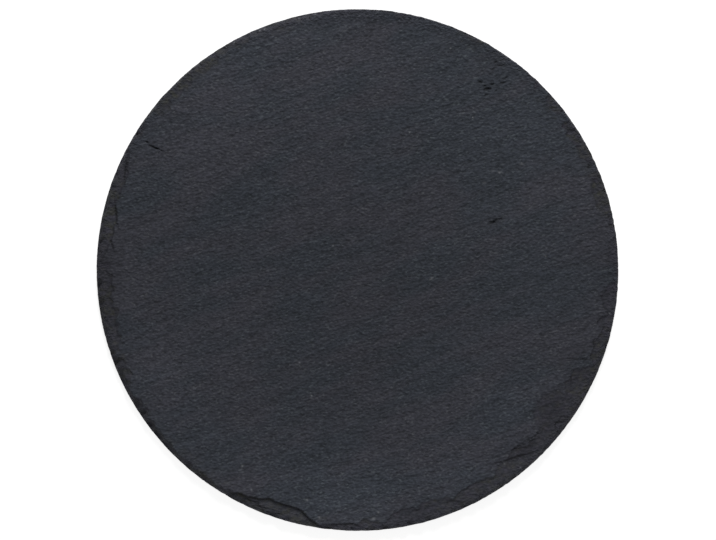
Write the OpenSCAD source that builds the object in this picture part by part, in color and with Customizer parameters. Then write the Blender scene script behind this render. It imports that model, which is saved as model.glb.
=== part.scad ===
// Round slate serving board, riven along its cleavage and dressed by hand round the rim.
// The slate stands on four self-adhesive foam feet.
// Millimetres, Z up, with the origin on the table under the middle of the board.

/* [Slate] */
// Diameter of the board at its lower edge
board_d = 300; // [200:5:400]
// Thickness of the slate
board_t = 5; // [4:0.5:8]
// Height and width of the worn lower edge
arris = 0.3; // [0.1:0.1:0.5]

/* [Dressed rim] */
// Furthest that the dressing reaches in from the edge
dress_reach = 12; // [8:1:16]
// How much less far the lowest layer is dressed back than the face, where the reach is full
set_back = 4; // [1:0.5:6]
// Spacing of the blows along the edge
blow_pitch = 15; // [12:1:20]
// Usual width of the scar that one blow leaves
scar_w = 26; // [20:1:34]
// Thickness of the thin edge that is left standing under the scars
lip_t = 0.9; // [0.6:0.1:1.4]
// Usual thickness of the cleaved layers that the scars break into
layer_t = 1.3; // [1:0.1:2]

/* [Lifted flakes] */
// Width of the widest flake that came off the face at the rim
flake_w = 58; // [40:2:70]
// Furthest that such a flake reaches in from the edge
flake_reach = 21; // [14:1:26]
// Depth of the deepest flake
flake_depth = 1.7; // [0.8:0.1:2.2]

/* [Feet] */
// Diameter of a foam pad
foot_d = 20; // [12:1:30]
// Height of a foam pad
foot_h = 2.5; // [1.5:0.5:5]
// Rounding of the pressed edges of a pad
foot_edge_r = 0.4; // [0.2:0.1:0.6]
// How far the middle of a foot stays in from the edge of the board
foot_inset = 50; // [30:5:70]
// Thickness of the adhesive film that holds a pad
film_t = 0.2; // [0.1:0.05:0.4]
// How far the edge of the film stays in from the edge of the pad
film_inset = 0.6; // [0.4:0.1:1]

/* [Hidden] */

// Angle from +X, then the reach of the dressing there as a share of dress_reach
reach_shares = [
  [0, 0.45], [7, 0.42], [13, 0.6], [19, 0.72], [25, 0.62], [33, 0.52], [42, 0.36], [60, 0.25],
  [90, 0.2], [120, 0.26], [127, 0.48], [134, 0.62], [142, 0.45], [153, 0.3], [162, 0.5],
  [172, 0.66], [188, 0.68], [205, 0.6], [217, 0.44], [222, 0.24], [238, 0.24], [243, 0.5],
  [251, 0.55], [261, 0.5], [265, 0.3], [271, 0.3], [279, 0.7], [291, 0.85], [301, 0.8],
  [307, 0.95], [313, 0.9], [324, 0.85], [334, 1], [340, 0.58], [352, 0.52], [360, 0.45],
];

// Angle of each lifted flake, then its shares of flake_w, flake_reach and flake_depth
flake_shares = [
  [3, 0.5, 0.26, 0.15], [19, 0.55, 0.44, 0.3], [33, 0.32, 0.34, 0.2], [134, 0.6, 0.4, 0.22],
  [148, 0.4, 0.22, 0.12], [166, 0.6, 0.38, 0.28], [188, 1, 0.4, 0.2], [212, 0.45, 0.31, 0.26],
  [251, 1, 0.4, 1], [266, 0.35, 0.2, 0.4], [284, 0.5, 0.46, 0.3], [296, 0.6, 0.55, 0.42],
  [307, 0.4, 0.63, 0.5], [325, 0.42, 1, 0.2], [334, 0.4, 0.66, 0.34], [349, 0.9, 0.36, 0.18],
];

// Seeds that spread each quality of the scars in its own even order, in place of chance
place_seed = 1;
width_seed = 7;
reach_seed = 3;
lip_seed = 11;
set_back_seed = 5;
golden = 0.618034;

// How much each quality differs, as a share of its usual value
place_share = 0.5;
width_share = 0.5;
depth_share = 0.3;
lip_share = 0.8;
set_back_share = 0.6;
layer_share = 0.4;

disc_facets = 240;
scar_facets = 96;

board_r = board_d / 2;
foot_r = foot_d / 2;
foot_ring_r = board_r - foot_inset;
slate_z = foot_h + film_t;
over = board_t;
n_blows = round(PI * board_d / blow_pitch);
n_layers = max(2, round((board_t - lip_t) / layer_t));

// Angle of each foot, in the order front left, front right, back left, back right
foot_angles = [225, 315, 135, 45];

// A value from 0 to 1 for copy i, evenly spread by the seed
function spread(i, seed) = i * seed * golden - floor(i * seed * golden);

// A value from -share / 2 to share / 2 for copy i
function stray(i, seed, share) = share * (spread(i, seed) - 1 / 2);

// Height of the underside of layer k, where layer 0 lies on the standing edge
function layer_z(k) =
  lip_t + (board_t - lip_t) * (k + (k % n_layers == 0 ? 0 : stray(k, place_seed, layer_share))) / n_layers;

// Radius of the arc through two points w apart on the edge and one that lies d inside it
function arc_r(w, d) = (w * w / 4 + d * d) / (2 * d);

// Reach of the dressing at the face, at any angle
function reach_at(angle) = dress_reach * lookup((angle + 360) % 360, reach_shares);

// Hollow of one blow, w wide and reaching d in at the face, and running out at height lip
module scar(angle, w, d, lip) {
  plan_r = arc_r(w, d);
  centre_z = (w * w / 4 / (board_t - lip) + board_t + lip) / 2;
  ball_r = norm([plan_r, centre_z - board_t]);
  rotate(angle) translate([board_r + plan_r - d, 0, centre_z]) sphere(r = ball_r, $fn = scar_facets);
}

// The scars of all the blows as they cut layer k, with the top layer furthest back
module scars(k) {
  for (i = [0 : n_blows - 1]) {
    angle = 360 * (i + stray(i, place_seed, place_share)) / n_blows;
    w = scar_w * (1 + stray(i, width_seed, width_share));
    lip = lip_t * (1 + stray(i, lip_seed, lip_share));
    back = set_back * (1 - set_back_share * spread(i, set_back_seed));
    layers_above = n_layers - 1 - k + spread(i + k, place_seed);
    d = reach_at(angle) * (1 + stray(i, reach_seed, depth_share));
    scar(angle, w, d * (1 - back / dress_reach * layers_above / n_layers), lip);
  }
}

// One cleaved layer with its own share of every scar
module layer(k) {
  difference() {
    translate([0, 0, layer_z(k)])
      cylinder(r = board_r, h = layer_z(k + 1) - layer_z(k), $fn = disc_facets);
    scars(k);
  }
}

// Flat-bottomed flake that came off the face at the rim, along the cleavage
module lifted_flake(angle, w, d, depth) {
  plan_r = arc_r(w, d);
  rotate(angle) translate([board_r + plan_r - d, 0, board_t - depth])
    cylinder(r = plan_r, h = depth + over, $fn = disc_facets);
}

// The stone: a thin standing edge with a worn arris, and the dressed layers above it
module slate_disc() {
  color("#323439") translate([0, 0, slate_z]) difference() {
    union() {
      cylinder(r1 = board_r - arris, r2 = board_r, h = arris, $fn = disc_facets);
      translate([0, 0, arris]) cylinder(r = board_r, h = lip_t - arris, $fn = disc_facets);
      for (k = [0 : n_layers - 1]) layer(k);
    }
    for (f = flake_shares)
      lifted_flake(f[0], flake_w * f[1], flake_reach * f[2], flake_depth * f[3]);
  }
}

// Moves a foot's own shape to the place of foot i
module at_foot(i) {
  rotate(foot_angles[i]) translate([foot_ring_r, 0, 0]) children();
}

// Die-cut foam disc with its two edges pressed round
module foot_pad(i) {
  color("#1b1c1e") at_foot(i) rotate_extrude($fn = scar_facets) {
    square([foot_r - foot_edge_r, foot_h]);
    translate([0, foot_edge_r]) square([foot_r, foot_h - 2 * foot_edge_r]);
    for (z = [foot_edge_r, foot_h - foot_edge_r])
      translate([foot_r - foot_edge_r, z]) circle(r = foot_edge_r, $fn = scar_facets);
  }
}

// Thin film of adhesive between a pad and the slate
module adhesive_film(i) {
  color("#c9c4b4") at_foot(i) translate([0, 0, foot_h])
    cylinder(r = foot_r - film_inset, h = film_t, $fn = scar_facets);
}

slate_disc();
foot_pad(0);  // foot_pad_front_left
foot_pad(1);  // foot_pad_front_right
foot_pad(2);  // foot_pad_back_left
foot_pad(3);  // foot_pad_back_right
adhesive_film(0);  // adhesive_film_front_left
adhesive_film(1);  // adhesive_film_front_right
adhesive_film(2);  // adhesive_film_back_left
adhesive_film(3);  // adhesive_film_back_right
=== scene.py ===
import math

import bpy
import numpy as np
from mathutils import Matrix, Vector


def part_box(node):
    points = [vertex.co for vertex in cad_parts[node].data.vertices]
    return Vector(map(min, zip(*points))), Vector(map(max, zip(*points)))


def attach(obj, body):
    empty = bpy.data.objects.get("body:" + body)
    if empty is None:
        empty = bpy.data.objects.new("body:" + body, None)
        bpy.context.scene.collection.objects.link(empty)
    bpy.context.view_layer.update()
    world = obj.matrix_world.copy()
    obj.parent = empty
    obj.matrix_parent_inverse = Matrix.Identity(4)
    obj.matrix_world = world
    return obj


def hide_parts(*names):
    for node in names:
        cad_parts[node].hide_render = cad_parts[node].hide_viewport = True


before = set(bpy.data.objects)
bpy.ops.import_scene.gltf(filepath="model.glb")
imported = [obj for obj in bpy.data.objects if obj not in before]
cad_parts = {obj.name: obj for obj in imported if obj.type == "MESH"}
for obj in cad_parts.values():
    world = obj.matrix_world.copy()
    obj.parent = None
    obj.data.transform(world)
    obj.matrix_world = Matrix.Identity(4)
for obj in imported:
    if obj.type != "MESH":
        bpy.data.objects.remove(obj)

bl_info = {
    "name": "Slate Serving Board",
    "version": (1, 0, 0),
    "blender": (4, 5, 0),
    "location": "View3D > Sidebar > Slate Board",
    "description": "A riven slate board with a hand-dressed rim, on foam feet, with its table and light",
    "category": "Add Mesh",
}

MM = 0.001
SIDES = ("front_left", "front_right", "back_left", "back_right")

# The photograph is 716 pixels wide, and the board's radius in it is 261 of them
PHOTO_WIDTH_PX = 716
BOARD_RADIUS_PX = 261.0
BOARD_LEFT_OF_CENTRE_PX = 0.5

STONE_LOW, STONE_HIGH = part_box("slate_disc")
BOARD_R = (STONE_HIGH.x - STONE_LOW.x) / 2 / MM
BOARD_T = (STONE_HIGH.z - STONE_LOW.z) / MM

# All lengths below are in mm, unless they are multiplied by MM

# Angle from +X, then how far the dressing reaches in from the edge there
REACHES = (
    (0, 0.8), (7, 0.6), (19, 0.8), (33, 0.8), (45, 0.5), (60, 0.4), (94, 0.3), (100, 3.8), (110, 5),
    (122, 4.6), (127, 0.8), (140, 1.4), (148, 2.4), (153, 2.8), (159, 4), (168, 3.8), (178, 4.6),
    (188, 4.4), (196, 4.6), (205, 5), (212, 4.8), (217, 5), (222, 5.4), (238, 5.4), (246, 2.6),
    (260, 2.6), (268, 2.8), (272, 2.4), (279, 2.2), (286, 2.2), (293, 2), (301, 2.2), (307, 2.2),
    (313, 2.4), (318, 2.8), (324, 3.6), (332, 2.4), (340, 2), (346, 1.6), (352, 1.2), (360, 0.8),
)

# Angle from +X, then how brown the broken stone is there, from 0 to 1
BROWNS = (
    (0, 0), (9, 0.2), (14, 1), (24, 0.9), (26, 0.5), (30, 0.8), (33, 0.1), (37, 0.1), (39, 0.9),
    (42, 0.7), (45, 0.2), (60, 0.6), (64, 0.8), (67, 0.1), (78, 0.1), (81, 0.6), (84, 0.1), (96, 0),
    (104, 0.5), (109, 0.8), (112, 0.2), (120, 0.6), (124, 1), (135, 1), (141, 0.8), (144, 0.2),
    (152, 0.4), (158, 0.1), (163, 0.8), (172, 0.9), (174, 0.1), (183, 0.2), (185, 0.9), (191, 0.9),
    (193, 0.2), (197, 0.3), (199, 1), (203, 0.9), (206, 0.2), (222, 0.6), (236, 0.8), (240, 0.5),
    (246, 0.9), (250, 0.3), (254, 0.8), (262, 0.8), (264, 0.2), (270, 0.3), (273, 0.7), (277, 0.1),
    (289, 0.2), (292, 0.8), (295, 0.3), (299, 0.4), (302, 0.9), (306, 0.3), (310, 0.6), (313, 0.1),
    (318, 0.4), (322, 0.1), (324, 0.4), (326, 0), (332, 0.9), (335, 0.2), (341, 0.7), (345, 0.4),
    (348, 0.1), (360, 0),
)

# Flakes that lifted off the face at the rim: angle, width and reach, depth at the inner line and
# at the edge, width of the broken step, and how ragged the line is, from 0 to 1
FLAKES = (
    (3, 30, 5.4, 0.2, 0.6, 1, 0.5), (11, 16, 3.6, 0.3, 0.7, 0.6, 0.5),
    (17, 28, 9.2, 0.3, 0.9, 0.8, 0.3), (28, 16, 6.8, 0.4, 0.8, 0.6, 0.5),
    (33, 16, 7.2, 0.5, 0.9, 0.6, 0.6), (40, 15, 6.4, 0.3, 0.7, 0.7, 0.4),
    (46, 14, 3.6, 0.3, 0.7, 0.5, 0.5), (64, 16, 3.6, 0.3, 0.6, 0.6, 0.4),
    (81, 20, 3, 0.3, 0.7, 0.6, 0.4), (107, 22, 4.4, 0.3, 1.1, 0.6, 0.4),
    (117, 18, 3.8, 0.3, 1, 0.6, 0.4), (126, 22, 7.6, 0.3, 0.9, 0.7, 0.4),
    (134, 24, 8, 0.3, 0.9, 0.7, 0.4), (140, 14, 7.6, 0.3, 0.8, 0.6, 0.4),
    (147, 16, 3.8, 0.3, 0.8, 0.5, 0.5), (160, 44, 8, 0.3, 0.9, 0.6, 0.2),
    (157, 10, 6.4, 0.6, 1, 0.6, 0.3), (171, 46, 9.2, 0.5, 1.1, 0.7, 0.3),
    (183, 38, 9.8, 0.6, 1.4, 1.2, 0.9), (189, 32, 9, 0.5, 1.2, 1, 0.9),
    (194, 34, 9.6, 0.6, 1.3, 1.2, 0.9), (203, 26, 7.2, 0.6, 1.2, 1, 0.9),
    (212, 22, 5.6, 0.4, 1, 0.8, 0.9), (251.5, 74, 9.3, 1.3, 1.4, 0.55, 0.2),
    (244, 30, 5, 1.6, 2, 0.5, 0.4), (267, 30, 4.8, 0.8, 1, 0.5, 0.3), (273, 18, 6, 0.5, 1, 0.6, 0.4),
    (281, 36, 10.8, 0.4, 1, 0.8, 0.4), (288, 38, 11.8, 0.45, 1.1, 1, 0.5),
    (298, 50, 10.8, 0.5, 1, 0.6, 0.4), (292, 14, 7.4, 0.8, 1.2, 0.5, 0.3),
    (307, 22, 12, 0.3, 0.8, 0.8, 0.6), (311, 26, 13, 0.4, 0.9, 0.6, 0.4),
    (317, 20, 11, 0.5, 0.9, 0.6, 0.6), (324, 22, 22, 0.25, 1.2, 1.4, 0.5),
    (323, 14, 7.4, 0.9, 1.2, 0.5, 0.3), (333, 26, 13, 0.35, 1, 0.7, 0.5),
    (342, 26, 8.6, 0.5, 0.9, 0.5, 0.5), (348, 20, 7.4, 0.6, 0.9, 0.5, 0.5),
    (354, 18, 8, 0.35, 0.8, 0.6, 0.3),
)

# Pits and cracks of the face: place, length and width, depth, and heading in degrees
MARKS = (
    (-116.1, 70.1, 7.5, 0.9, 0.9, -27), (74.7, 103.9, 3.6, 1.6, 0.8, 20),
    (81.6, 117.5, 2.6, 1.1, 0.4, 15), (78, 115.6, 2.8, 0.9, 0.4, 10), (70.4, 108.2, 3.2, 1.1, 0.5, -20),
    (77.2, 106.8, 2.6, 1, 0.5, 5), (83.5, 107.6, 3.4, 1, 0.5, 8), (78.2, 28, 5, 1.6, 0.9, 14),
    (81.8, 29.2, 2.6, 1, 0.6, 30), (122.5, 80.5, 6, 2.4, 0.3, -30), (133.4, 59.8, 3, 2.6, 0.3, -40),
    (66.7, -35.3, 5, 3.2, 0.12, 10), (-54, -136.2, 12, 0.8, 0.4, -18),
    (-47.5, -139.6, 9, 0.7, 0.35, -14), (-61, -132.4, 8, 0.7, 0.35, -24),
    (-55.6, 128.6, 5, 0.9, 0.3, -10), (-50.5, 125.4, 5, 0.9, 0.2, -50), (91, -107.4, 23, 1.2, 0.6, 16),
    (90, -102.5, 10, 1, 0.45, 29), (100.5, -96, 12, 0.9, 0.3, 40), (115.5, -87.3, 6, 0.9, 0.4, 4),
    (128, -51.2, 14, 0.8, 0.3, -2), (122.6, -62, 9, 0.8, 0.3, 86), (135.6, -41.7, 4, 1.2, 0.35, 70),
    (6, 134, 4, 0.8, 0.15, 5), (-41, 72.5, 6, 0.8, 0.1, 10), (43, -74, 4, 0.9, 0.1, 15),
    (20, -18, 5, 0.8, 0.1, 12), (-70, -22, 5, 0.9, 0.1, 20), (-133, 57.5, 15, 1.2, 0.4, 84),
    (-138.6, 33, 17, 1.1, 0.4, 98), (-141, 15, 8, 1.2, 0.3, 100), (79, 119, 2.2, 0.8, 0.35, 20),
    (83.5, 118, 2, 0.7, 0.3, -20), (80, 111.5, 2.6, 0.8, 0.35, 15), (76, 112.5, 2, 0.8, 0.35, 30),
    (73, 105.6, 2.2, 0.9, 0.4, -35), (85.8, 110.6, 3, 0.8, 0.35, 25), (87.5, 106.5, 2.6, 0.7, 0.3, 10),
    (71.5, 112, 2, 0.7, 0.3, 5), (74.2, 100.6, 2.4, 1, 0.5, 30), (79.5, 102.8, 2, 0.8, 0.35, 15),
    (-120.6, 73, 3.6, 0.8, 0.5, -32),
)

# Pale mineral specks of the face: place and radius
SPECKS = (
    (59.8, 44.5, 0.43), (73, 49.7, 0.43), (77.6, 57.2, 0.43), (81.6, 56, 0.65), (94.3, 61.2, 0.43),
    (66.1, 87.6, 0.43), (53.4, 127.3, 0.43), (-66.1, -112.4, 0.65), (-60.9, -126.1, 0.5),
    (-29, -132, 0.6), (-22, -142, 0.6), (9.2, -142.8, 0.8), (-26.4, -72.1, 0.43), (-33.3, -53.2, 0.43),
    (42.5, -4.9, 0.43), (144.8, -25, 0.43), (12, -139, 0.58), (-74, 31, 0.36), (-14, 14, 0.36),
    (30, 79, 0.36), (93.5, -113.4, 0.4), (84.4, -111.3, 0.4), (-53.2, 138.6, 0.5), (-56.1, 137.5, 0.5),
    (-70.9, 130.5, 0.5), (-75.4, 128, 0.5), (-33.4, 144.7, 0.5), (-24.5, 146.5, 0.4), (-97, 12, 0.36),
    (108, 8, 0.36), (24, -42, 0.36), (-48, 92, 0.36),
)

# Paler and darker parts of the face: place, radius, and how much paler
PATCHES = (
    (4, -138, 32, 0.36), (58, -120, 26, 0.22), (-42, -130, 30, 0.22), (-95, -95, 40, 0.10),
    (-80, 118, 34, 0.08), (-90, 95, 40, 0.06), (105, 60, 40, 0.03), (0, 128, 60, 0.08),
    (-115, -54, 11, 0.16), (-108, -62, 8, 0.10), (80, -118, 20, 0.06), (0, -10, 60, -0.03),
    (111, -81, 9, -0.24), (128, -74, 9, 0.06), (98, -100, 8, -0.12), (142, 8, 15, -0.07),
    (140, -14, 14, -0.10), (130, -58, 15, -0.06), (-144, 6, 10, -0.24), (-143, -12, 9, -0.22),
    (-142, -30, 9, -0.06), (24, -144, 8, -0.12), (42, -139, 9, -0.15), (62, -131, 9, -0.14),
    (10, -141, 5, 0.10), (137, -46, 10, -0.07), (130, -64, 9, -0.08), (-104, 104, 14, 0.05),
    (-60, 136, 12, 0.16), (-32, 145, 12, 0.20), (-88, 119, 9, 0.08), (-142, 34, 7, 0.10),
    (107, 90, 24, 0.09), (91, 116, 7, 0.12), (-12, -132, 12, 0.12), (52, -123, 14, 0.11),
    (87, -78, 14, 0.13), (102, -93, 5, 0.08), (-144, -26, 7, -0.12), (-124, -77, 6, -0.12),
    (146, -10, 7, -0.10), (35, -141, 6, -0.12), (72, -127, 5, -0.12), (-45, -139, 5, -0.12),
    (10, 130, 12, -0.09), (-80, -107, 10, 0.08), (-110, -4, 16, -0.06), (80, 68, 26, 0.07),
    (76, -66, 26, 0.08), (-100, 20, 34, -0.05), (-72, -80, 16, -0.07), (1, 93, 12, -0.10),
    (143, 1, 5, -0.15), (93, -82, 11, 0.12), (108, -64, 9, 0.07),
)

# Waves that shape and colour the stone: seed, spacing of the crests, run of a crest, heading in
# degrees, and how many are summed where it isn't the usual number
SWELL_WAVES = (1, 80, 150, 20)
BAND_WAVES = (2, 15, 60, 20)
RIPPLE_WAVES = (3, 5.2, 16, 8, 120)
WANDER_WAVES = ((21, 8, 9, 30), (23, 8, 9, 120))
FRAY_WAVES = ((22, 3, 4, 70), (24, 3, 4, 160))
DRIFT_WAVES = ((25, 26, 30, 30), (26, 26, 30, 120))
LAYER_WAVES = (31, 9, 20, 40)
NICK_WAVES = (41, 3, 3, 0)
DENT_WAVES = (42, 9, 9, 0)
UNDERSIDE_WAVES = (51, 14, 50, 35)
PIT_WAVES = (61, 2.2, 3, 0)
BROWN_EDGE_WAVES = (62, 6, 6, 0)
BROWN_WAVES = (63, 8, 8, 0)
USUAL_WAVES = 64
# Crests that a single wave has to that spacing, and how much they turn off the heading by chance
FEWEST_CRESTS, MOST_CRESTS, CREST_TURN = 0.65, 1.5, 0.6

# How far the lines of the flakes stray: in bends, in frayed teeth and in slow drift. The bends and
# teeth of the blows and of the edge are shares of theirs.
WANDER, FRAY, DRIFT = 0.9, 0.3, 0.6
BLOW_RAGGED, EDGE_RAGGED = 0.6, 0.3

# Seed and share of chance of each quality of the dressing blows, as on the solid
PLACE_CHANCE = (1, 0.5)
WIDTH_CHANCE = (7, 0.5)
LIP_CHANCE = (11, 0.8)
REACH_CHANCE = (3, 0.3)
GOLDEN = 0.618034
# Share of the dressing's reach that the hollow of a blow takes
BLOW_REACH = 0.75

# The bevel that runs all the way round: its least width, what the dressing adds, and its curve
BEVEL_LEAST, BEVEL_SHARE, BEVEL_CURVE = 0.3, 0.48, 0.75

# Small chips of the rim: seed, count to a blow, ranges of width, of reach as a share of the
# dressing's, and of depth, then the shortest reach, the step and the share of the depth at the edge
CHIP_SEED = 5
CHIPS_TO_A_BLOW = 5
CHIP_WIDTHS = (4, 15)
CHIP_REACHES = (0.2, 0.95)
CHIP_DEPTHS = (0.1, 0.4)
CHIP_LEAST_REACH = 0.8
CHIP_STEP = 0.7
CHIP_AT_EDGE = 0.3
# Where the dressing reaches this far in, the chips have their full depth
FULL_CHIPS_REACH = 3

# A flake's line breaks in straight facets about this long, and in no fewer than this many a turn
FACET = 9
FEWEST_FACETS = 6

# Painted shade, a dark line at the foot of a flake's step: place as a share of the step, width,
# strength at no depth and for each mm of it, and what a ragged line takes from it
STEP_SHADE_PLACE, STEP_SHADE_WIDTH = 0.8, 0.7
STEP_SHADE_LEAST, STEP_SHADE_BY_DEPTH = 0.35, 0.6
STEP_SHADE_LOST = 0.7

# Steps of the thin layers: how far they wander, the share of a layer that a riser takes, and how
# much of the step is left by wear
LAYER_WANDER, RISER, STEP_LEFT = 0.5, 0.35, 0.5

# Pits and cracks: how rough their depth is and the least of it, then how far a crack bends, as a
# share of its width, and how fast, in radians along its length
PIT_ROUGH, PIT_LEAST = 0.35, 0.2
CRACK_BEND, CRACK_TURNS = 0.25, 4

# Most depth and height of the riven face against its middle, and what it loses where it is broken
RELIEF_DOWN, RELIEF_UP = 0.25, 0.15
RELIEF_LOST = 0.5
# Depth at which the rim counts as fully broken, and the thinnest that the stone gets
BROKEN_DEPTH = 0.4
THINNEST = 0.45

# The underside: depth and most of its waves, and the flat rings at the edge and at the feet
UNDERSIDE_DEPTH, UNDERSIDE_MOST = 0.1, 2
FLAT_EDGE, FLAT_FOOT, FADE = 2, 11, 4

# Nicks of the outline: depth of each kind, the most of both, and how near the edge they lie
NICK_DEPTH, NICK_MOST, NICK_ZONE = 0.05, 0.4, 0.05

# Brown of the broken stone: how far its edges stray in degrees, how even it is, and the most of it
BROWN_STRAY = 2
BROWN_EVEN, BROWN_UNEVEN, BROWN_MOST = 0.85, 0.5, 1.4
# It also stains the unbroken face: how strongly, how far in from the edge, and how softly
STAIN_SHARE, STAIN_REACH, STAIN_FADE = 0.35, 9, 2
# Depth at which the painted shade of a pit is at its darkest
PIT_SHADE_DEPTH = 0.35

# Spacing of the rows of cells of the rim: near the edge, a little further in, and by the face. Rows
# are added until they are this near the edge, and the last one is moved to it.
FINE_ROW, FINE_WITHIN = 0.5, 11
MIDDLE_ROW, MIDDLE_WITHIN = 0.8, 15
COARSE_ROW = 1.3
LAST_ROW = 0.3
# Rows of the wall, as shares of the thickness from the face down, the last of which draws in
WALL_SHARES = (0, 0.3, 0.6, 0.92, 1)
WALL_DRAWS_IN = 0.35
# The underside: how far inside the edge its outer row and its grid lie, and the grid's rows outwards
UNDERSIDE_RIM = 1.4
UNDERSIDE_GRID_IN = 10
UNDERSIDE_ROWS = (0, 2.5, 5, 6.5)
# It is made this far below the board, and comes up to it when the stone is carved
APART = 3
# Cells are split at the pits and specks in two passes, each with its factor and its distance from the
# edge. Split is what lies within this share of a pit's size, with a margin across it.
SPLITS = ((1.2, 4), (1, 15))
SPLIT_SPAN, SPLIT_MARGIN = 0.7, 0.6
# Points nearer than this to a plane lie in it
NEAR = 0.01
# The broken shapes of the rim are worked out this far beyond its zone
ZONE_MARGIN = 1

# Grain of the slate: spacing across, run and depth of the streaks, heading in degrees, place in the
# noise, then detail, roughness and distortion of the noise. Real fibres and flakes of mica are a few
# hundredths of a millimetre wide, far finer than a pixel, so the fine grain and the painted glints of
# the mica are drawn as coarse as they need to show. The wider grains are as wide as in the photograph.
GRAIN = {
    "fine": (1.3, 1.8, 1.3, 7, 0.0, 0.0, 0.5, 0.3),
    "fibre": (1.7, 4.2, 1.7, 16, 7.0, 0.5, 0.5, 0.5),
    "ridge": (2.8, 18, 2.8, 20, 29.0, 0.5, 0.5, 0.0),
    "band": (6, 40, 6, 22, 3.0, 0.8, 0.5, 0.0),
    "broad": (18, 50, 18, 24, 11.0, 2.0, 0.5, 0.0),
    "mica": (0.9, 1.7, 0.9, 10, 17.0, 0.5, 0.5, 0.0),
    "layers": (3.0, 3.0, 0.25, 0, 5.0, 2.0, 0.5, 0.0),
    "chips": (1.3, 1.7, 0.6, 0, 23.0, 1.0, 0.6, 0.0),
}

# Share of each grain in the tone and in the relief of the face, in mm of height for the relief
TONE_SHARES = (("broad", 0.16), ("band", 0.09), ("ridge", 0.11), ("fibre", 0.29), ("fine", 0.38))
TONE_SHIFT = -0.015
RELIEF_SHARES = (("band", 0.30), ("ridge", 0.38), ("fibre", 0.36), ("fine", 0.52))

# What each look of the stone follows, and the values between which it goes from 0 to 1. The last one
# follows the distance from the middle, because crumbs of broken stone stand out near the edge.
LOOKS = {
    "lightness": ("tone", 0.3, 0.7),
    "mica_glints": ("mica", 0.58, 0.76),
    "warmth": ("broad", 0.4, 0.6),
    "joints": ("layers", 0.38, 0.66),
    "speckle": ("chips", 0.25, 0.75),
    "edge": ("from_middle", BOARD_R - 7, BOARD_R - 2),
}
# Share of the painted glints: lighter flecks that stand in for light glinting off mica
MICA_GLINT_SHARE = 0.56
SPECKLE_SHARE, SPECKLE_LEAST = 0.6, 0.74
CRUMB_SHARE = 1.3
# How much of the face's colour the broken rim replaces
DRESSED_SHARE = 0.8
# Painted light: the colour is made paler, as if lit more brightly, between these distances from the middle
RIM_LIGHT_RANGE, RIM_LIGHT_MOST = (30.0, 135.0), 1.10
# How much of the light the painted shade takes from the pits and the foot of the flakes' steps
PAINTED_SHADE_STRENGTH = 0.7
# Values that the mesh stores for the material
STORED = ("dressed", "brown", "painted_shade", "pale", "speck")

# The cells of the foam, as they show in its bump
CELL_STRENGTH, CELL_DEPTH = 0.6, 0.1 * MM
# The cloudy parts of the adhesive film are about this wide
FILM_CLOUD = 2.5 * MM

# Sockets of a Mix node that mixes colours
FACTOR, FIRST, SECOND, MIXED = 0, 6, 7, 2
WHITE = (1, 1, 1, 1)

PAD_SIDES = 96
# Rows of a pad's pressed edge, and rows of its cut wall as shares of the height between the edges
PRESSED_ROWS = 5
WALL_ROWS = (0.15, 0.3, 0.5, 0.7, 0.85)
# Rings that close a pad's flat faces, as shares of its lowest row's radius
PAD_RINGS = (0.25, 0.4)

# Edges sharper than these angles stay crisp
STONE_CREASE = math.radians(38)
PAD_CREASE = math.radians(40)

# The stage in metres: the table, and the place and size of each lamp
TABLE_SIZE = 12
WINDOW_PLACE, WINDOW_SIZE = (0.13, 1.5, 1.0), 0.8
SIDE_PLACE, SIDE_SIZE = (0.35, -0.95, 0.9), 0.6
# The table lies this far under the feet, so that their faces and its own never share a plane
TABLE_GAP = 0.05 * MM
# What the camera sees of the table: its glow, over a grey that still takes the board's shadow
TABLE_GLOW = 0.82
TABLE_GREY = (0.4, 0.4, 0.4, 1)
# The board's widest outline lies this far over the underside of the stone
OUTLINE_UP = 1 * MM


def linear(hex_colour):
    """A colour written as sRGB hex, as linear red, green, blue and alpha."""
    shares = [int(hex_colour[i:i + 2], 16) / 255 for i in (1, 3, 5)]
    return [s / 12.92 if s <= 0.04045 else ((s + 0.055) / 1.055) ** 2.4 for s in shares] + [1.0]


def colour(name, description, hex_colour):
    """A colour property whose default is written as sRGB hex."""
    default = linear(hex_colour)
    return bpy.props.FloatVectorProperty(
        name=name, description=description, subtype="COLOR", size=4, min=0, max=1, default=default
    )


def number(name, description, default, **kind):
    """A number property."""
    return bpy.props.FloatProperty(name=name, description=description, default=default, **kind)


def length(name, description, mm):
    """A length property whose default is given in mm."""
    return number(name, description, mm * MM, unit="LENGTH", precision=5)


class StoneSettings(bpy.types.PropertyGroup):
    face_cells: bpy.props.IntProperty(
        name="Face cells", description="Mesh cells across the face", default=158
    )
    rim_zone: length("Rim zone", "Width of the ring that holds the dressed rim", 24)
    blow_pitch: length("Blow pitch", "Spacing of the dressing blows along the edge", 15)
    scar_width: length("Scar width", "Usual width of the scar of one blow", 26)
    lip: length("Lip", "Usual height of the thin edge left under the scars", 0.9)
    swell: length("Swell", "Height of the broad swell of the riven face", 0.10)
    band: length("Band", "Height of the bands of the riven face", 0.035)
    ripple: length("Ripple", "Height of the finer ripples of the riven face", 0.010)
    layer: length("Layer", "Thickness of the thin layers that show in the rim", 0.5)
    dark: colour("Dark slate", "Darkest of the face", "#212226")
    light: colour("Light slate", "Lightest of the face", "#383940")
    dressed: colour("Dressed slate", "Freshly broken stone of the rim", "#302f37")
    brown: colour("Brown slate", "Weathered brownish stone in parts of the rim", "#30302c")
    joint: colour("Layer joints", "Darker layers that crop out in the broken rim", "#27282d")
    # Painted glints: colour of the lighter flecks that stand in for light caught by flakes of mica
    mica_glint: colour("Fleck", "Fine flakes of mica that catch the light", "#494b4f")
    cool: colour("Cool cast", "Cast of the bluer parts, which multiplies the stone's colour", "#f3fdff")
    warm: colour("Warm cast", "Cast of the purpler parts, which multiplies the stone's colour", "#fffeff")
    speck: colour("Speck", "Mineral specks", "#606266")


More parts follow.
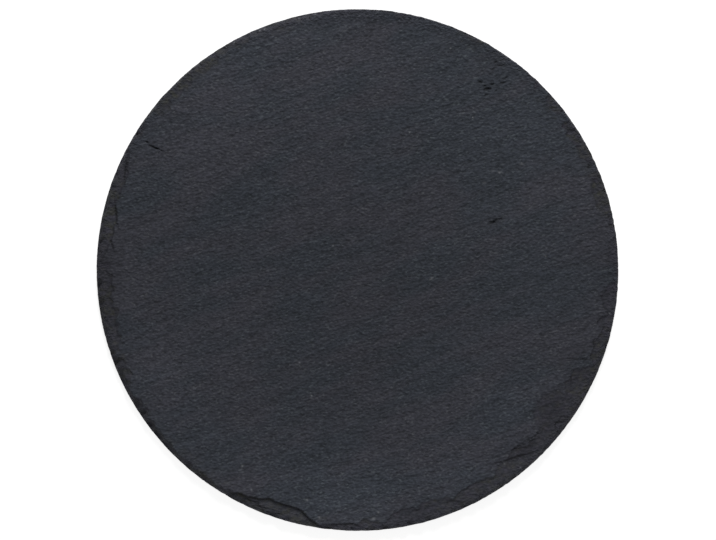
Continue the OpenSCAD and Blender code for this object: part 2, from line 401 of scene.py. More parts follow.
class FeetSettings(bpy.types.PropertyGroup):
    foam: colour("Foam", "Closed-cell foam", "#1b1c1e")
    film: colour("Film", "Adhesive film", "#c9c4b4")
    cloudy: colour("Cloudy film", "Cloudier parts of the adhesive film", "#b5ae9a")
    soft_edge: length("Soft edge", "Rounding of a pad's pressed edges", 0.4)
    waist: length("Waist", "How far the cut wall of a pad draws in", 0.15)
    cell: length("Cell", "Width of a cell of the foam", 0.35)


class StageSettings(bpy.types.PropertyGroup):
    table: colour("Table", "White table top", "#f4f4f4")
    lens: number("Lens", "Focal length", 260, subtype="DISTANCE_CAMERA")
    key: number("Key", "Power of the window light", 31.0, unit="POWER")
    fill: number("Fill", "Power of the side light", 2.45, unit="POWER")
    dome: number("Dome", "Strength of the room's own light", 0.255)


def deselect():
    """Leaves object mode with nothing selected."""
    if bpy.context.object and bpy.context.object.mode != "OBJECT":
        bpy.ops.object.mode_set(mode="OBJECT")
    bpy.ops.object.select_all(action="DESELECT")


def activate(piece):
    """Makes a piece the only selected object and the active one."""
    deselect()
    piece.select_set(True)
    bpy.context.view_layer.objects.active = piece


def coordinates(piece):
    """The piece's points in mm, one row each."""
    flat = np.empty(len(piece.data.vertices) * 3)
    piece.data.vertices.foreach_get("co", flat)
    return flat.reshape(-1, 3) / MM


def move_to(piece, points):
    """Puts the piece's points where rows of mm say."""
    piece.data.vertices.foreach_set("co", (points * MM).ravel())
    piece.data.update()


def turned(x, y, heading):
    """Places seen from axes turned by a heading in degrees: along it, then square to it."""
    c, s = math.cos(math.radians(heading)), math.sin(math.radians(heading))
    return x * c + y * s, y * c - x * s


def ripples(x, y, seed, width, run, heading, count=USUAL_WAVES):
    """Waves of rms 1 whose crests are about width apart and run long along a heading in degrees."""
    rng = np.random.default_rng(seed)
    across = 2 * np.pi / width * rng.uniform(FEWEST_CRESTS, MOST_CRESTS, count)
    along = 2 * np.pi / run * rng.normal(0, CREST_TURN, count)
    phase = rng.uniform(0, 2 * np.pi, count)
    u, v = turned(x, y, heading)
    total = np.zeros_like(x)
    for i in range(count):
        total += np.cos(along[i] * u + across[i] * v + phase[i])
    return total * math.sqrt(2 / count)


def at_angle(table, angle):
    """Value of a table of the rim at angles in degrees."""
    angles, values = zip(*table)
    return np.interp(angle, angles, values)


def reach_at(angle):
    """How far the dressing reaches in at one angle in degrees."""
    return float(at_angle(REACHES, angle % 360))


def arc_radius(width, reach):
    """Radius of the arc through two points width apart on the edge and one that lies reach inside."""
    return (width * width / 4 + reach * reach) / (2 * reach)


def scar(x, y, angle, width, reach, lip):
    """Height over the underside of the hollow that one blow leaves, or the full thickness outside it."""
    plan = arc_radius(width, reach)
    centre = (width * width / 4 / (BOARD_T - lip) + BOARD_T + lip) / 2
    ball = math.hypot(plan, centre - BOARD_T)
    out, side = turned(x, y, angle)
    out = out - (BOARD_R + plan - reach)
    left = ball * ball - out * out - side * side
    return np.where(left > 0, centre - np.sqrt(np.maximum(left, 0)), BOARD_T)


def flake(x, y, angle, width, reach, inner, outer, step):
    """Height of the sloping floor that a lifted flake leaves, and how far inside its line each place is."""
    plan = arc_radius(width, reach)
    out, side = turned(x, y, angle)
    out = out - (BOARD_R + plan - reach)
    sector = 2 * math.pi / max(FEWEST_FACETS, round(2 * math.pi * plan / FACET))
    # The angle is added only to start each flake's facets at another place
    turn = (np.arctan2(side, out) + angle) % sector - sector / 2
    inside = plan - np.hypot(out, side) * np.cos(turn)
    depth = inner + (outer - inner) * np.clip(inside / reach, 0, 1)
    return BOARD_T - depth * np.clip(inside / step, 0, 1), inside


def stray(i, seed, chance):
    """How far a quality of blow i strays from the usual, evenly spread by the seed."""
    return chance * (i * seed * GOLDEN % 1 - 0.5)


def edge_height(x, y, made):
    """Height of the narrow bevel that runs all the way round."""
    reaches = at_angle(REACHES, np.degrees(np.arctan2(y, x)) % 360)
    share = np.clip((BOARD_R - np.hypot(x, y)) / (BEVEL_LEAST + BEVEL_SHARE * reaches), 0, 1)
    return made.lip / MM + (BOARD_T - made.lip / MM) * share**BEVEL_CURVE


def blown(z, x, y, blows, made):
    """The rim after the blows of the dressing, each of which leaves a hollow."""
    for i in range(blows):
        angle = 360 * (i + stray(i, *PLACE_CHANCE)) / blows
        width = made.scar_width / MM * (1 + stray(i, *WIDTH_CHANCE))
        lip = made.lip / MM * (1 + stray(i, *LIP_CHANCE))
        reach = BLOW_REACH * reach_at(angle) * (1 + stray(i, *REACH_CHANCE))
        z = np.minimum(z, scar(x, y, angle, width, reach, lip))
    return z


def chipped(z, x, y, blows):
    """The rim with the many small chips that the dressing leaves."""
    rng = np.random.default_rng(CHIP_SEED)
    for _ in range(CHIPS_TO_A_BLOW * blows):
        angle = rng.uniform(0, 360)
        width = rng.uniform(*CHIP_WIDTHS)
        reach = max(reach_at(angle) * rng.uniform(*CHIP_REACHES), CHIP_LEAST_REACH)
        depth = rng.uniform(*CHIP_DEPTHS) * min(1, reach_at(angle) / FULL_CHIPS_REACH)
        z = z - BOARD_T + flake(x, y, angle, width, reach, depth, CHIP_AT_EDGE * depth, CHIP_STEP)[0]
    return z


def rim_shape(x, y, made):
    """Height of the rim after blows, lifted flakes and chips, and its painted shade at the foot of the
    flake steps, from 0 to 1.
    """
    off_x, off_y = [
        WANDER * ripples(x, y, *bends) + FRAY * ripples(x, y, *teeth)
        for bends, teeth in zip(WANDER_WAVES, FRAY_WAVES)
    ]
    slow_x, slow_y = [DRIFT * ripples(x, y, *waves) for waves in DRIFT_WAVES]
    bend_x, bend_y = x + BLOW_RAGGED * off_x, y + BLOW_RAGGED * off_y
    blows = round(2 * math.pi * BOARD_R / (made.blow_pitch / MM))
    z = edge_height(x + EDGE_RAGGED * off_x, y + EDGE_RAGGED * off_y, made)
    z = blown(z, bend_x, bend_y, blows, made)
    # Painted shade along the foot of each flake's step, from 0 to 1
    step_shade = np.zeros_like(x)
    for angle, width, reach, inner, outer, step, ragged in FLAKES:
        at_x, at_y = x + slow_x + ragged * off_x, y + slow_y + ragged * off_y
        floor, inside = flake(at_x, at_y, angle, width, reach, inner, outer, step)
        strength = (1 - STEP_SHADE_LOST * ragged) * min(1, STEP_SHADE_LEAST + STEP_SHADE_BY_DEPTH * inner)
        line = strength * np.exp(-(((inside - STEP_SHADE_PLACE * step) / STEP_SHADE_WIDTH) ** 2))
        step_shade = np.where(floor < z, line, step_shade)
        z = np.minimum(z, floor)
    return chipped(z, bend_x, bend_y, blows), step_shade


def layered(z, x, y, layer):
    """The broken rim as it steps down the thin layers of the slate."""
    level = (BOARD_T - z) / layer + LAYER_WANDER * ripples(x, y, *LAYER_WAVES)
    step = np.floor(level)
    sharp = step + np.clip((level - step - 0.5) / RISER + 0.5, 0, 1)
    return z - layer * (sharp - level) * STEP_LEFT


def marked(x, y):
    """Depth of the pits and cracks of the face."""
    total = np.zeros_like(x)
    rough = 1 + PIT_ROUGH * ripples(x, y, *PIT_WAVES)
    for px, py, long, wide, depth, heading in MARKS:
        u, v = turned(x - px, y - py, heading)
        v = v + CRACK_BEND * wide * np.sin(u * CRACK_TURNS / long + px)
        total = np.maximum(total, depth * np.exp(-((2 * u / long) ** 2) - (2 * v / wide) ** 2))
    return total * np.maximum(rough, PIT_LEAST)


def select_border():
    """Selects nothing but the open borders."""
    bpy.ops.mesh.select_all(action="DESELECT")
    bpy.ops.mesh.select_non_manifold()


def open_border(piece):
    """Opens the piece for editing with its open borders selected."""
    activate(piece)
    bpy.ops.object.mode_set(mode="EDIT")
    bpy.ops.mesh.select_mode(type="EDGE")
    select_border()


def grow(factor, rise):
    """Extrudes the selected border, scaled about the middle of the board and moved up."""
    bpy.ops.mesh.extrude_edges_move(TRANSFORM_OT_translate={"value": (0, 0, rise * MM)})
    bpy.ops.transform.resize(value=(factor, factor, 1), center_override=(0, 0, 0))


def split_border():
    """Halves the edges of the selected border."""
    bpy.ops.mesh.subdivide(number_cuts=1)
    select_border()


def gridded_disc(cells, radius, z):
    """A square grid eased into a disc, so that its cells stay nearly even."""
    deselect()
    bpy.ops.mesh.primitive_grid_add(x_subdivisions=cells, y_subdivisions=cells, size=2, location=(0, 0, 0))
    disc = bpy.context.object
    # The grid runs from -1 to 1 both ways
    points = coordinates(disc) * MM
    a, b = points[:, 0].copy(), points[:, 1].copy()
    wide = np.abs(a) > np.abs(b)
    safe_a, safe_b = np.where(wide, a, 1), np.where(wide | (b == 0), 1, b)
    out = np.where(wide, a, b)
    angle = np.where(wide, math.pi / 4 * b / safe_a, math.pi / 2 - math.pi / 4 * a / safe_b)
    points[:, 0], points[:, 1] = radius * out * np.cos(angle), radius * out * np.sin(angle)
    points[:, 2] = z
    move_to(disc, points)
    return disc


def row_radii(core):
    """Radii of the rows of the rim, from coarse by the face to fine at the edge."""
    radii = [core]
    while radii[-1] < BOARD_R - LAST_ROW:
        from_edge = BOARD_R - radii[-1]
        if from_edge < FINE_WITHIN:
            radii.append(radii[-1] + FINE_ROW)
        elif from_edge < MIDDLE_WITHIN:
            radii.append(radii[-1] + MIDDLE_ROW)
        else:
            radii.append(radii[-1] + COARSE_ROW)
    radii[-1] = BOARD_R
    return radii


def finer_places():
    """Place, length, width and heading of whatever is too small for the cells of the face."""
    for px, py, long, wide, _, heading in MARKS:
        yield px, py, long, wide, heading
    for px, py, radius in SPECKS:
        yield px, py, radius, radius, 0


def refine_marks(piece):
    """Splits the cells of the face at each pit, crack and speck, so that it comes out sharp."""
    for factor, from_edge in SPLITS:
        bpy.ops.mesh.select_mode(type="FACE")
        bpy.ops.mesh.select_all(action="DESELECT")
        bpy.ops.object.mode_set(mode="OBJECT")
        count = len(piece.data.polygons)
        centres = np.empty(count * 3)
        piece.data.polygons.foreach_get("center", centres)
        x, y, z = (centres.reshape(-1, 3) / MM).T
        near = np.zeros(count, dtype=bool)
        for px, py, long, wide, heading in finer_places():
            u, v = turned(x - px, y - py, heading)
            along = np.abs(u) < factor * (SPLIT_SPAN * long)
            near |= along & (np.abs(v) < factor * (SPLIT_SPAN * wide + SPLIT_MARGIN))
        near &= z > -NEAR
        near &= np.hypot(x, y) < BOARD_R - from_edge
        piece.data.polygons.foreach_set("select", near)
        bpy.ops.object.mode_set(mode="EDIT")
        bpy.ops.mesh.subdivide(number_cuts=1, smoothness=0)


def upper_mesh(made):
    """The gridded face with the fine rows of the rim round it, the wall and the rim of the underside."""
    core = BOARD_R - made.rim_zone / MM
    face = gridded_disc(made.face_cells, core - COARSE_ROW, 0)
    open_border(face)
    grow(core / (core - COARSE_ROW), 0)
    split_border()
    radii = row_radii(core)
    for before, after in zip(radii, radii[1:]):
        grow(after / before, 0)
    drawn_in = BOARD_R - WALL_DRAWS_IN
    for before, after in zip(WALL_SHARES, WALL_SHARES[1:]):
        grow(drawn_in / BOARD_R if after == 1 else 1, -BOARD_T * (after - before))
    grow((BOARD_R - UNDERSIDE_RIM) / drawn_in, 0)
    bpy.ops.object.mode_set(mode="OBJECT")
    return face


def underside_mesh(made):
    """The gridded underside with its rows, a little below the rest of the stone."""
    inner = BOARD_R - UNDERSIDE_GRID_IN
    underside = gridded_disc(made.face_cells // 2, inner, -BOARD_T - APART)
    open_border(underside)
    for before, after in zip(UNDERSIDE_ROWS, UNDERSIDE_ROWS[1:]):
        grow((inner + after) / (inner + before), 0)
        if after != UNDERSIDE_ROWS[-1]:
            split_border()
    bpy.ops.object.mode_set(mode="OBJECT")
    return underside


def stone_mesh(made):
    """The stone as a flat disc of cells, closed all round and ready to be carved."""
    face = upper_mesh(made)
    underside = underside_mesh(made)
    activate(face)
    underside.select_set(True)
    bpy.ops.object.join()
    open_border(face)
    bpy.ops.mesh.bridge_edge_loops()
    bpy.ops.mesh.select_all(action="SELECT")
    bpy.ops.mesh.normals_make_consistent(inside=False)
    refine_marks(face)
    bpy.ops.object.mode_set(mode="OBJECT")
    face.name = face.data.name = "slate_stone"
    return face


def foot_places():
    """Middles of the feet."""
    for side in SIDES:
        low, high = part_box("foot_pad_" + side)
        yield (low.x + high.x) / 2 / MM, (low.y + high.y) / 2 / MM


def riven_relief(x, y, made):
    """Height of the riven face against the top of the board, without its pits."""
    relief = (
        made.swell / MM * ripples(x, y, *SWELL_WAVES)
        + made.band / MM * ripples(x, y, *BAND_WAVES)
        + made.ripple / MM * ripples(x, y, *RIPPLE_WAVES)
    )
    return np.clip(relief, -RELIEF_DOWN, RELIEF_UP) - RELIEF_UP


def underside_relief(x, y, r):
    """Height of the riven underside, which is flat at the edge and where the feet stick."""
    feet = np.min([np.hypot(x - fx, y - fy) for fx, fy in foot_places()], axis=0)
    fade = np.clip((BOARD_R - FLAT_EDGE - r) / FADE, 0, 1) * np.clip((feet - FLAT_FOOT) / FADE, 0, 1)
    waves = np.minimum(np.abs(ripples(x, y, *UNDERSIDE_WAVES)), UNDERSIDE_MOST)
    return UNDERSIDE_DEPTH * fade * waves


def nicked(x, y, r):
    """Share of its own distance from the middle that each place keeps, so that the outline is nicked."""
    nick = NICK_DEPTH * np.abs(ripples(x, y, *NICK_WAVES)) + NICK_DEPTH * np.abs(ripples(x, y, *DENT_WAVES))
    return np.where(r > BOARD_R - NICK_ZONE, 1 - np.minimum(nick, NICK_MOST) / BOARD_R, 1)


def brown_at(x, y):
    """How brown the stone is, from 0 where it isn't."""
    angle = np.degrees(np.arctan2(y, x)) % 360 + BROWN_STRAY * ripples(x, y, *BROWN_EDGE_WAVES)
    unevenness = np.clip(BROWN_EVEN + BROWN_UNEVEN * ripples(x, y, *BROWN_WAVES), 0, BROWN_MOST)
    return at_angle(BROWNS, angle) * unevenness


def spot(x, y, px, py, radius):
    """A round spot that is 1 in its middle and fades outwards."""
    return np.exp(-((x - px) ** 2 + (y - py) ** 2) / radius**2)


def add_attribute(piece, name, values):
    """Stores a value at every point of the piece."""
    layer = piece.data.attributes.new(name, "FLOAT", "POINT")
    layer.data.foreach_set("value", np.asarray(values, dtype=np.float32))


def carve(piece, made):
    """Gives the flat disc its riven faces and broken rim, and stores what its material follows."""
    points = coordinates(piece)
    x, y = points[:, 0].copy(), points[:, 1].copy()
    z = points[:, 2] + BOARD_T
    r = np.hypot(x, y)
    upper = z > BOARD_T - NEAR
    below = z < NEAR
    wall = ~upper & ~below
    pits = marked(x, y)

    # The broken rim, and over it the riven relief, which is weaker where the stone is broken
    zone = r > BOARD_R - made.rim_zone / MM - ZONE_MARGIN
    broken = np.full_like(x, BOARD_T)
    # Painted shade at the foot of the flakes' steps
    step_shade = np.zeros_like(x)
    broken[zone], step_shade[zone] = rim_shape(x[zone], y[zone], made)
    worked = np.clip((BOARD_T - broken) / BROKEN_DEPTH, 0, 1)
    top = np.where(worked > 0, layered(broken, x, y, made.layer / MM), broken)
    top = top + (riven_relief(x, y, made) - pits) * (1 - RELIEF_LOST * worked)
    top = np.minimum(np.maximum(top, THINNEST), BOARD_T)

    kept = nicked(x, y, r)
    points[:, 0] = x * kept
    points[:, 1] = y * kept
    points[:, 2] = np.where(upper, top, np.where(wall, top * z / BOARD_T, underside_relief(x, y, r)))
    points[:, 2] += STONE_LOW.z / MM
    move_to(piece, points)

    brown = brown_at(x, y)
    stain = STAIN_SHARE * brown * np.clip((r - BOARD_R + STAIN_REACH) / STAIN_FADE, 0, 1)
    pale = np.zeros_like(x)
    for px, py, radius, paler in PATCHES:
        pale += paler * spot(x, y, px, py, radius)
    speck = np.zeros_like(x)
    for px, py, radius in SPECKS:
        speck = np.maximum(speck, spot(x, y, px, py, radius))
    # Painted shade: pits darken with their depth, and so does the foot of each flake's step
    painted_shade = np.maximum(np.clip(pits / PIT_SHADE_DEPTH, 0, 1), step_shade)
    add_attribute(piece, "dressed", np.where(upper, np.maximum(worked, stain), np.where(below, 0, 1)))
    add_attribute(piece, "brown", brown)
    add_attribute(piece, "painted_shade", np.where(upper, painted_shade, 0))
    add_attribute(piece, "pale", np.where(upper, pale, 0))
    add_attribute(piece, "speck", np.where(upper, speck, 0))


def add_node(tree, kind, inputs=None, **settings):
    """Adds a node with its settings, and sets or links its inputs."""
    node = tree.nodes.new("ShaderNode" + kind)
    for name, value in settings.items():
        setattr(node, name, value)
    for socket, value in (inputs or {}).items():
        if isinstance(value, bpy.types.NodeSocket):
            tree.links.new(value, node.inputs[socket])
        else:
            node.inputs[socket].default_value = value
    return node


def new_material(name):
    """A material with an empty tree but for its shader, and that shader."""
    material = bpy.data.materials.new(name)
    material.use_nodes = True
    return material, material.node_tree, material.node_tree.nodes["Principled BSDF"]


def streaks(tree, in_mm, across, run, deep, heading, seed, detail, roughness, distortion):
    """Streaks of the stone, from 0 to 1, of a size in mm and a heading in degrees."""
    turn = (0, 0, math.radians(-heading))
    along = add_node(tree, "Mapping", {"Vector": in_mm, "Rotation": turn}).outputs[0]
    place = {"Location": (seed, seed, seed), "Scale": (1 / run, 1 / across, 1 / deep)}
    sized = add_node(tree, "Mapping", {"Vector": along, **place}).outputs[0]
    noise = {"Scale": 1.0, "Detail": detail, "Roughness": roughness, "Distortion": distortion}
    return add_node(tree, "TexNoise", {"Vector": sized, **noise}).outputs["Fac"]


def weighted_sum(tree, grain, shares, total):
    """The grains added up by their shares, on top of a first value."""
    for name, share in shares:
        inputs = {0: grain[name], 1: share, 2: total}
        total = add_node(tree, "Math", inputs, operation="MULTIPLY_ADD").outputs[0]
    return total


def face_colour(tree, looks, made):
    """Colour of the riven face: dark and light fibres, painted glints of mica, and a slow change of cast.
    """
    fibres = {FACTOR: looks["lightness"], FIRST: made.dark, SECOND: made.light}
    fibres = add_node(tree, "Mix", fibres, data_type="RGBA").outputs[MIXED]
    # Painted glints of mica, mixed in as lighter flecks
    mica_glints = add_node(tree, "Math", {0: looks["mica_glints"], 1: MICA_GLINT_SHARE}, operation="MULTIPLY").outputs[0]
    face = {FACTOR: mica_glints, FIRST: fibres, SECOND: made.mica_glint}
    face = add_node(tree, "Mix", face, data_type="RGBA").outputs[MIXED]
    cast = {FACTOR: looks["warmth"], FIRST: made.cool, SECOND: made.warm}
    cast = add_node(tree, "Mix", cast, data_type="RGBA").outputs[MIXED]
    return add_node(tree, "VectorMath", {0: face, 1: cast}, operation="MULTIPLY").outputs[0]


def broken_colour(tree, looks, stored, made):
    """Colour of the broken rim: grey or brown stone between darker layers, speckled with fine chips."""
    stone = {FACTOR: stored["brown"], FIRST: made.dressed, SECOND: made.brown}
    stone = add_node(tree, "Mix", stone, data_type="RGBA").outputs[MIXED]
    broken = {FACTOR: looks["joints"], FIRST: stone, SECOND: made.joint}
    broken = add_node(tree, "Mix", broken, data_type="RGBA").outputs[MIXED]
    speckle = {0: looks["speckle"], 1: SPECKLE_SHARE, 2: SPECKLE_LEAST}
    speckle = add_node(tree, "Math", speckle, operation="MULTIPLY_ADD").outputs[0]
    return add_node(tree, "VectorMath", {0: broken, "Scale": speckle}, operation="SCALE").outputs[0]


def brightness(tree, from_middle, stored):
    """What the stone's colour is multiplied by: painted light that pales it towards the edge, paler and
    darker patches, and painted shade in the pits and at the foot of flake steps.
    """
    low, high = RIM_LIGHT_RANGE
    # Painted light: paler towards the rim
    rim_light_and_patches = {"Value": from_middle, "From Min": low, "From Max": high, "To Min": 1.0, "To Max": RIM_LIGHT_MOST}
    rim_light_and_patches = add_node(tree, "MapRange", rim_light_and_patches).outputs["Result"]
    rim_light_and_patches = add_node(tree, "Math", {0: rim_light_and_patches, 1: stored["pale"]}, operation="ADD").outputs[0]
    # The painted shade darkens the colour in the pits and at the foot of the flakes' steps
    unshaded = {0: stored["painted_shade"], 1: -PAINTED_SHADE_STRENGTH, 2: 1.0}
    unshaded = add_node(tree, "Math", unshaded, operation="MULTIPLY_ADD").outputs[0]
    return add_node(tree, "Math", {0: rim_light_and_patches, 1: unshaded}, operation="MULTIPLY").outputs[0]


def stone_relief(tree, grain, edge):
    """Height of the stone's finest relief: its fibres, and crumbs near the edge."""
    crumbs = add_node(tree, "Math", {0: grain["chips"], 1: edge}, operation="MULTIPLY").outputs[0]
    crumbs = add_node(tree, "Math", {0: crumbs, 1: CRUMB_SHARE}, operation="MULTIPLY").outputs[0]
    return weighted_sum(tree, grain, RELIEF_SHARES, crumbs)


def slate_material(made):
    """Slate, riven on its faces and broken at its rim.

    It gives the eye a dull, nearly black stone whose fibres catch a little light along the cleavage,
    and which is greyer, or brownish where it weathered, in the broken rim.
    """
    material, tree, shader = new_material("Riven slate")
    place = add_node(tree, "TexCoord").outputs["Object"]
    in_mm = add_node(tree, "VectorMath", {0: place, "Scale": 1 / MM}, operation="SCALE").outputs[0]
    from_middle = add_node(tree, "VectorMath", {0: in_mm}, operation="LENGTH").outputs["Value"]
    grain = {name: streaks(tree, in_mm, *sizes) for name, sizes in GRAIN.items()}
    grain["tone"] = weighted_sum(tree, grain, TONE_SHARES, TONE_SHIFT)
    grain["from_middle"] = from_middle
    looks = {}
    for look, (name, low, high) in LOOKS.items():
        span = {"Value": grain[name], "From Min": low, "From Max": high}
        looks[look] = add_node(tree, "MapRange", span).outputs["Result"]
    stored = {}
    for name in STORED:
        stored[name] = add_node(tree, "Attribute", attribute_name=name).outputs["Fac"]

    face = face_colour(tree, looks, made)
    broken = broken_colour(tree, looks, stored, made)
    dressed = add_node(
        tree, "Math", {0: stored["dressed"], 1: DRESSED_SHARE}, operation="MULTIPLY"
    ).outputs[0]
    surface = {FACTOR: dressed, FIRST: face, SECOND: broken}
    surface = add_node(tree, "Mix", surface, data_type="RGBA").outputs[MIXED]
    surface = {0: surface, "Scale": brightness(tree, from_middle, stored)}
    surface = add_node(tree, "VectorMath", surface, operation="SCALE").outputs[0]
    surface = {FACTOR: stored["speck"], FIRST: surface, SECOND: made.speck}
    surface = add_node(tree, "Mix", surface, data_type="RGBA").outputs[MIXED]
    tree.links.new(surface, shader.inputs["Base Color"])
    bump = {"Height": stone_relief(tree, grain, looks["edge"]), "Strength": 1.0, "Distance": 1.0 * MM}
    bump = add_node(tree, "Bump", bump).outputs[0]
    tree.links.new(bump, shader.inputs["Normal"])
    shader.inputs["Roughness"].default_value = 0.7
    shader.inputs["Specular IOR Level"].default_value = 0.1
    return material


def foam_material(made):
    """Closed-cell foam, die cut: it gives the eye a soft, matt black with fine cells."""
    material, tree, shader = new_material("Die-cut foam")
    place = add_node(tree, "TexCoord").outputs["Object"]
    cells = {"Vector": place, "Scale": 1 / made.cell}
    cells = add_node(tree, "TexVoronoi", cells).outputs["Distance"]
    bump = {"Height": cells, "Strength": CELL_STRENGTH, "Distance": CELL_DEPTH}
    bump = add_node(tree, "Bump", bump).outputs[0]
    tree.links.new(bump, shader.inputs["Normal"])
    shader.inputs["Base Color"].default_value = made.foam
    shader.inputs["Roughness"].default_value = 0.9
    shader.inputs["Specular IOR Level"].default_value = 0.3
    return material


def film_material(made):
    """Acrylic adhesive film, rolled on: it gives the eye a cloudy, slightly glossy cream."""
    material, tree, shader = new_material("Acrylic adhesive film")
    place = add_node(tree, "TexCoord").outputs["Object"]
    cloud = add_node(tree, "TexNoise", {"Vector": place, "Scale": 1 / FILM_CLOUD}).outputs["Fac"]
    mixed = {FACTOR: cloud, FIRST: made.film, SECOND: made.cloudy}
    mixed = add_node(tree, "Mix", mixed, data_type="RGBA").outputs[MIXED]
    tree.links.new(mixed, shader.inputs["Base Color"])
    shader.inputs["Roughness"].default_value = 0.4
    return material


def pad_profile(made, radius, high):
    """Radius and height of each row of a pad's cut wall, from the table up."""
    soft, waist = made.soft_edge / MM, made.waist / MM
    turns = [i / PRESSED_ROWS * math.pi / 2 for i in range(PRESSED_ROWS + 1)]
    pressed = [(radius - soft + soft * math.sin(a), soft - soft * math.cos(a)) for a in turns]
    span = high - 2 * soft
    cut = [(radius - waist * math.sin(math.pi * share), soft + share * span) for share in WALL_ROWS]
    return pressed + cut + [(r, high - z) for r, z in reversed(pressed)]


def pad_mesh(made):
    """One die-cut foam disc, its edges pressed round and its wall drawn in a little by the cutter."""
    low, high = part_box("foot_pad_front_left")
    rows = pad_profile(made, (high.x - low.x) / 2 / MM, (high.z - low.z) / MM)
    end_radius = rows[0][0]
    deselect()
    bpy.ops.mesh.primitive_circle_add(
        vertices=PAD_SIDES, radius=end_radius * MM, fill_type="NGON", location=(0, 0, 0)
    )
    pad = bpy.context.object
    bpy.ops.object.mode_set(mode="EDIT")
    bpy.ops.mesh.select_mode(type="FACE")
    bpy.ops.mesh.select_all(action="SELECT")
    for (before, low_z), (after, high_z) in zip(rows, rows[1:]):
        bpy.ops.mesh.extrude_region_move(TRANSFORM_OT_translate={"value": (0, 0, (high_z - low_z) * MM)})
        bpy.ops.transform.resize(value=(after / before, after / before, 1), center_override=(0, 0, 0))
    bpy.ops.mesh.select_all(action="DESELECT")
    bpy.ops.mesh.select_face_by_sides(number=PAD_SIDES, type="EQUAL")
    for share in PAD_RINGS:
        bpy.ops.mesh.inset(thickness=end_radius * share * MM, use_individual=True)
    bpy.ops.mesh.poke()
    bpy.ops.mesh.select_all(action="SELECT")
    bpy.ops.mesh.normals_make_consistent(inside=False)
    bpy.ops.object.mode_set(mode="OBJECT")
    bpy.ops.object.shade_smooth_by_angle(angle=PAD_CREASE)
    return pad


def seen_directly(tree):
    """1 where the camera sees a surface, itself or in gloss or glass, and 0 for its light on the board."""
    path = add_node(tree, "LightPath").outputs
    seen = path["Is Camera Ray"]
    for ray in ("Is Glossy Ray", "Is Transmission Ray"):
        seen = add_node(tree, "Math", {0: seen, 1: path[ray]}, operation="MAXIMUM").outputs[0]
    return seen


def table_material(made):
    """Painted board: it gives the eye a plain white top that keeps the soft shadow of the stone."""
    material, tree, shader = new_material("White table top")
    seen = seen_directly(tree)
    top = {FACTOR: seen, FIRST: made.table, SECOND: TABLE_GREY}
    top = add_node(tree, "Mix", top, data_type="RGBA").outputs[MIXED]
    glow = add_node(tree, "Math", {0: seen, 1: TABLE_GLOW}, operation="MULTIPLY").outputs[0]
    tree.links.new(top, shader.inputs["Base Color"])
    tree.links.new(glow, shader.inputs["Emission Strength"])
    shader.inputs["Emission Color"].default_value = WHITE
    shader.inputs["Roughness"].default_value = 0.9
    shader.inputs["Specular IOR Level"].default_value = 0.0
    return material


def add_room(context, made):
    """A plain white room that is weaker as a light than it looks."""
    world = bpy.data.worlds.new("Studio")
    context.scene.world = world
    world.use_nodes = True
    tree = world.node_tree
    strength = {0: seen_directly(tree), 1: 1 - made.dome, 2: made.dome}
    strength = add_node(tree, "Math", strength, operation="MULTIPLY_ADD").outputs[0]
    back = tree.nodes["Background"]
    back.inputs["Color"].default_value = WHITE
    tree.links.new(strength, back.inputs["Strength"])


def add_lamp(context, name, power, size, place):
    """A square lamp aimed at the middle of the board."""
    data = bpy.data.lights.new(name, "AREA")
    data.energy, data.size = power, size
    lamp = bpy.data.objects.new(name, data)
    context.collection.objects.link(lamp)
    lamp.location = place
    aim = -Vector(place)
    lamp.rotation_euler = aim.to_track_quat("-Z", "Y").to_euler()


def add_camera(context, made):
    """A camera straight overhead, from which the board is as large as in the photograph."""
    data = bpy.data.cameras.new("Overhead")
    data.lens = made.lens
    camera = bpy.data.objects.new("Overhead", data)
    context.collection.objects.link(camera)
    mm_per_px = BOARD_R / BOARD_RADIUS_PX
    wide = PHOTO_WIDTH_PX * mm_per_px * MM
    distance = wide * data.lens / data.sensor_width
    camera.location = (BOARD_LEFT_OF_CENTRE_PX * mm_per_px * MM, 0, STONE_LOW.z + OUTLINE_UP + distance)
    context.scene.camera = camera


class SLATE_OT_stone(bpy.types.Operator):
    """Model the riven stone with its dressed rim, in place of its plain solid"""

    bl_idname = "slate.stone"
    bl_label = "Stone"

    def execute(self, context):
        made = context.scene.slate_stone
        stone = stone_mesh(made)
        carve(stone, made)
        activate(stone)
        bpy.ops.object.shade_smooth_by_angle(angle=STONE_CREASE)
        stone.data.materials.append(slate_material(made))
        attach(stone, "root")
        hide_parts("slate_disc")
        return {"FINISHED"}


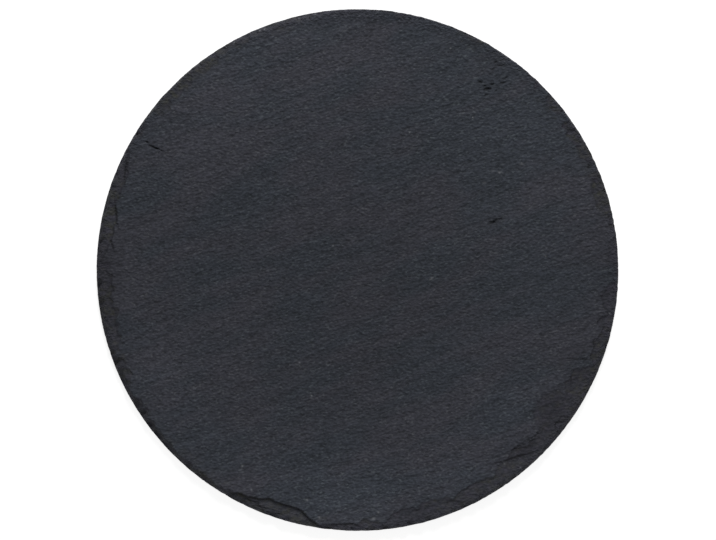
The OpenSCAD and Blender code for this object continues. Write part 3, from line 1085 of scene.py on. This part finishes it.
class SLATE_OT_feet(bpy.types.Operator):
    """Model one die-cut foam pad, put a copy at each foot and finish the adhesive films"""

    bl_idname = "slate.feet"
    bl_label = "Feet"

    def execute(self, context):
        made = context.scene.slate_feet
        film = film_material(made)
        pad = pad_mesh(made)
        pad.data.materials.append(foam_material(made))
        for side, (x, y) in zip(SIDES, foot_places()):
            activate(pad)
            bpy.ops.object.duplicate(linked=False)
            foot = context.object
            foot.name = foot.data.name = "foam_foot_" + side
            bpy.ops.transform.translate(value=(x * MM, y * MM, 0))
            bpy.ops.object.transform_apply(location=True, rotation=False, scale=False)
            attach(foot, "root")
            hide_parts("foot_pad_" + side)
            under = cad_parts["adhesive_film_" + side].data
            under.materials.clear()
            under.materials.append(film)
        activate(pad)
        bpy.ops.object.delete()
        return {"FINISHED"}


class SLATE_OT_stage(bpy.types.Operator):
    """Set the white table, the soft lights and the camera straight overhead"""

    bl_idname = "slate.stage"
    bl_label = "Stage"

    def execute(self, context):
        made = context.scene.slate_stage
        deselect()
        bpy.ops.mesh.primitive_plane_add(size=TABLE_SIZE, location=(0, 0, -TABLE_GAP))
        table = context.object
        table.name = "table"
        table.data.materials.append(table_material(made))
        add_room(context, made)
        add_lamp(context, "Window", made.key, WINDOW_SIZE, WINDOW_PLACE)
        add_lamp(context, "Side light", made.fill, SIDE_SIZE, SIDE_PLACE)
        add_camera(context, made)
        context.scene.view_settings.view_transform = "Standard"
        return {"FINISHED"}


class SLATE_PT_board(bpy.types.Panel):
    """Steps of the slate board"""

    bl_idname = "SLATE_PT_board"
    bl_label = "Slate Board"
    bl_space_type = "VIEW_3D"
    bl_region_type = "UI"
    bl_category = "Slate Board"

    def draw(self, context):
        for step in STEPS:
            self.layout.operator(step.bl_idname)


STEPS = (SLATE_OT_stage, SLATE_OT_stone, SLATE_OT_feet)
SETTINGS = {"slate_stone": StoneSettings, "slate_feet": FeetSettings, "slate_stage": StageSettings}
CLASSES = (*SETTINGS.values(), *STEPS, SLATE_PT_board)


def register():
    for cls in CLASSES:
        bpy.utils.register_class(cls)
    for name, group in SETTINGS.items():
        setattr(bpy.types.Scene, name, bpy.props.PointerProperty(type=group))


def unregister():
    for name in SETTINGS:
        delattr(bpy.types.Scene, name)
    for cls in reversed(CLASSES):
        bpy.utils.unregister_class(cls)


def main():
    """Runs every step in order."""
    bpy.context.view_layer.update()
    register()
    bpy.ops.slate.stage()
    bpy.ops.slate.stone()
    bpy.ops.slate.feet()


if __name__ == "__main__":
    main()
